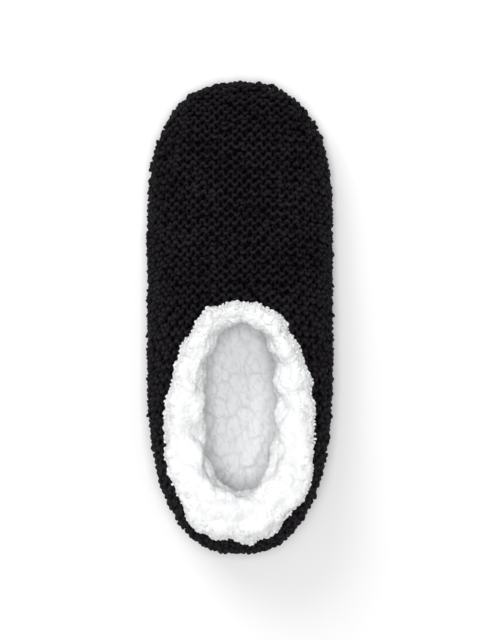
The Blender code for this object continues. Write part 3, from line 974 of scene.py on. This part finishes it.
bed_line = sole_line(np.linspace(*PLATE_ENDS, 290), FOOT_WIDTH + GAP)
bed = plate(bed_line, on_sole, INSOLE_THICKNESS, BED_EDGE, INSOLE_CROWN, BED_COLUMNS)
bed_lift, bed_crease = nubs(bed, BED_NUB, BED_NUB_HEIGHT, 23, BED_NUB_LENGTH)
top = slice(BED_COLUMNS + FLAT_RIM, 2 * BED_COLUMNS + FLAT_RIM)
bed[:, top, 2] += bed_lift[:, top]
footbed = piece("footbed", bed, bar_faces(*bed.shape[:2]), fleece_finish)
# Painted shade: the whole footbed, deep inside the slipper, is a little darker, and its creases are darker
# still.
add_crease_shade(footbed, BED_PAINTED_SHADE + (1 - BED_PAINTED_SHADE) * bed_crease)

# %% [markdown]
# ## The sole
#
# The sole is a thin cloth with fine ribs across it, cut to the last's own outline and turned under at its
# rim. Small clear dots of rubber are moulded on it in staggered rows, so that it grips the floor.

# %% The sole's cloth
SOLE_EDGE, SOLE_COLUMNS = 0.0009, 30
WAVE_RADIANS = 20        # how far the wave texture turns in one unit at a scale of one
sole_shape = sole_line(np.linspace(*PLATE_ENDS, 220))
sole_sections = plate(sole_shape, underside, SOLE_THICKNESS, SOLE_EDGE, 0, SOLE_COLUMNS)
sole = piece("sole_cloth_shell", sole_sections, bar_faces(*sole_sections.shape[:2]), sole_finish)


def add_ribs(material, pitch, depth):
    """Fine ribs across the sole, as a wave along the length that lifts the bump."""
    tree = material.node_tree
    place = node(tree, "ShaderNodeTexCoord")
    often = 2 * math.pi / pitch / WAVE_RADIANS
    rib = node(tree, "ShaderNodeTexWave",
               {"Vector": place.outputs["Object"], "Scale": often, "Distortion": 0.6, "Detail Scale": 2.0},
               bands_direction="Y")
    bump_more(material, rib.outputs["Fac"], depth)


add_ribs(sole_finish, pitch=0.0011, depth=0.0003)

# %% The dots
DOT_PITCH, DOT_ROW, DOT_MARGIN = 0.0094, 0.0043, 0.003
DOT_SIZES = {"Dot Radius": 0.00085, "Dot Height": 0.00055, "Twist": 0.05, "Swell": 0.06, "Seed": 5}


def dot_seats():
    """Staggered rows of seats on the sole's lower face, clear of its rim."""
    line = sole_line(np.linspace(0, 1, 400), DOT_MARGIN)
    points = []
    for row in range(int((line[0, 1] - line[-1, 1]) / DOT_ROW) + 1):
        y = line[0, 1] - row * DOT_ROW
        half = np.interp(-y, -line[:, 1], line[:, 0])
        count = int(half / DOT_PITCH) + 1
        for column in range(-count, count + 1):
            x = column * DOT_PITCH + 0.5 * DOT_PITCH * (row % 2)
            if abs(x) < half:
                points.append((x, y, underside(y)))
    print(f"{len(points)} dots")
    return points, [(0, 0, -1)] * len(points), [(1, 0, 0)] * len(points)


def dot_tree():
    """Low domes of rubber on the seats."""
    tree, given = new_tree("grip_dots", DOT_SIZES)
    radius, height = given.outputs["Dot Radius"], given.outputs["Dot Height"]
    ball = node(tree, "GeometryNodeMeshIcoSphere", {"Subdivisions": 2, "Radius": 1})
    scale = node(tree, "ShaderNodeCombineXYZ", {0: radius, 1: radius, 2: height})
    low = node(tree, "GeometryNodeTransform", {"Geometry": ball.outputs["Mesh"], "Scale": scale.outputs[0]})
    close_tree(tree, given, seated(tree, given, low.outputs["Geometry"]))
    return tree


dots = grown("grip_dots", dot_seats(), dot_tree(), DOT_SIZES, dot_finish)

# %% [markdown]
# Where the knit meets the sole, a row of short stitches in the same black yarn draws both edges together.
# The yarn tree makes them too: only its sizes and its seats differ.

# %% The seam
SEAM_PITCH = 0.0036
SEAM_SIZES = {
    "Left Foot": (0.0, -0.0018, -0.0008),
    "Crown": (0.0004, 0.0, 0.0022),
    "Right Foot": (0.0009, 0.0018, -0.0008),
    "Yarn Radius": 0.00055,
    "Twist": 0.12,
    "Swell": 0.08,
    "Seed": 6,
}


def seam_seats():
    """Seats along the sole's edge, facing outwards and a little down."""
    count = int(sole_way[-1] / SEAM_PITCH)
    spots = walk(sole_edge, (np.arange(count) + 0.5) * sole_way[-1] / count)
    spots[:, 2] -= GAP
    along = np.gradient(spots, axis=0)
    along /= np.linalg.norm(along, axis=1)[:, None]
    out = np.cross(np.array([0, 0, 1.0]), along)
    out /= np.linalg.norm(out, axis=1)[:, None]
    return [np.concatenate([half, other]) for half, other in (
        (spots, spots * TURNED), (out, out * TURNED), (along, -along * TURNED))]


seam = grown("seam_stitches", seam_seats(), RIDGE_TREE, SEAM_SIZES, yarn_finish)

# %% [markdown]
# ## What each piece belongs to
#
# Nothing here moves on its own, so every piece rides on the one body. Each says which plain solid of the
# frame it stands for, and which finish of the record it has.

# %% Tie the pieces to the frame
WEAR = {
    "knit_upper": ("black_yarn", [*knit_pieces, knit_wall, seam]),
    "fleece_cuff": ("white_fleece", [cuff_fleece, cuff_curls]),
    "fleece_insole": ("white_fleece", [footbed]),
    "gripper_sole": ("sole_cloth", [sole]),
}
for solid, (finish_slot, members) in WEAR.items():
    for member in members:
        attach(member, "root")
        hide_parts(solid)
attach(lining, "root")
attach(dots, "root")

# %% [markdown]
# ## Floor, light and camera
#
# The photograph is a catalogue picture: the slipper lies on white, lit softly from all sides, and the
# camera looks straight down on it with its toe at the top. A long lens keeps the outline true.

# %% The floor
FLOOR_DROP, FLOOR_REACH = 0.0006, 3.0
PAPER = (0.97, 0.97, 0.97)
floor_mesh = bpy.data.meshes.new("floor")
corners = [(x * FLOOR_REACH, y * FLOOR_REACH, -FLOOR_DROP) for x, y in ((-1, -1), (1, -1), (1, 1), (-1, 1))]
floor_mesh.from_pydata(corners, [], [(0, 1, 2, 3)])
floor = placed("floor", floor_mesh)
floor_mesh.materials.append(cloth("pale_floor", PAPER, patch=0.4, fibre=0.05, mottle=0.01, bump=0.0,
                                  Roughness=0.9, Specular_IOR_Level=0.05))


# %% The lights
def area_light(name, place, size, power):
    """A square lamp that shines at the middle of the slipper."""
    light = bpy.data.lights.new(name, "AREA")
    light.shape, light.size, light.energy = "SQUARE", size, power
    lamp = placed(name, light)
    lamp.location = place
    lamp.rotation_euler = (Vector() - Vector(place)).to_track_quat("-Z", "Y").to_euler()


area_light("key_light", (-0.7, 1.0, 1.4), size=0.8, power=10)
area_light("top_light", (0.0, -0.1, 2.4), size=0.9, power=38)
WORLD_STRENGTH = 0.26
world = bpy.data.worlds.new("soft_studio")
world.use_nodes = True
sky = world.node_tree.nodes["Background"].inputs
sky["Color"].default_value = (1, 1, 1, 1)
sky["Strength"].default_value = WORLD_STRENGTH
bpy.context.scene.world = world
bpy.context.scene.view_settings.view_transform = "Standard"

# %% The camera
PHOTO_HEIGHT = 640
MM_PER_PIXEL = 0.53
FRAME_SPAN = PHOTO_HEIGHT * MM_PER_PIXEL / 1000
CAMERA_HEIGHT, FOCUS_HEIGHT = 1.62, 0.02
CENTRE_DROP = 0.0016
lens = bpy.data.cameras.new("camera")
lens.sensor_width = 36
lens.lens = lens.sensor_width * (CAMERA_HEIGHT - FOCUS_HEIGHT) / FRAME_SPAN
camera = placed("camera", lens)
camera.location = (0, -CENTRE_DROP, CAMERA_HEIGHT)
bpy.context.scene.camera = camera
print(f"the lens is {lens.lens:.0f} mm")
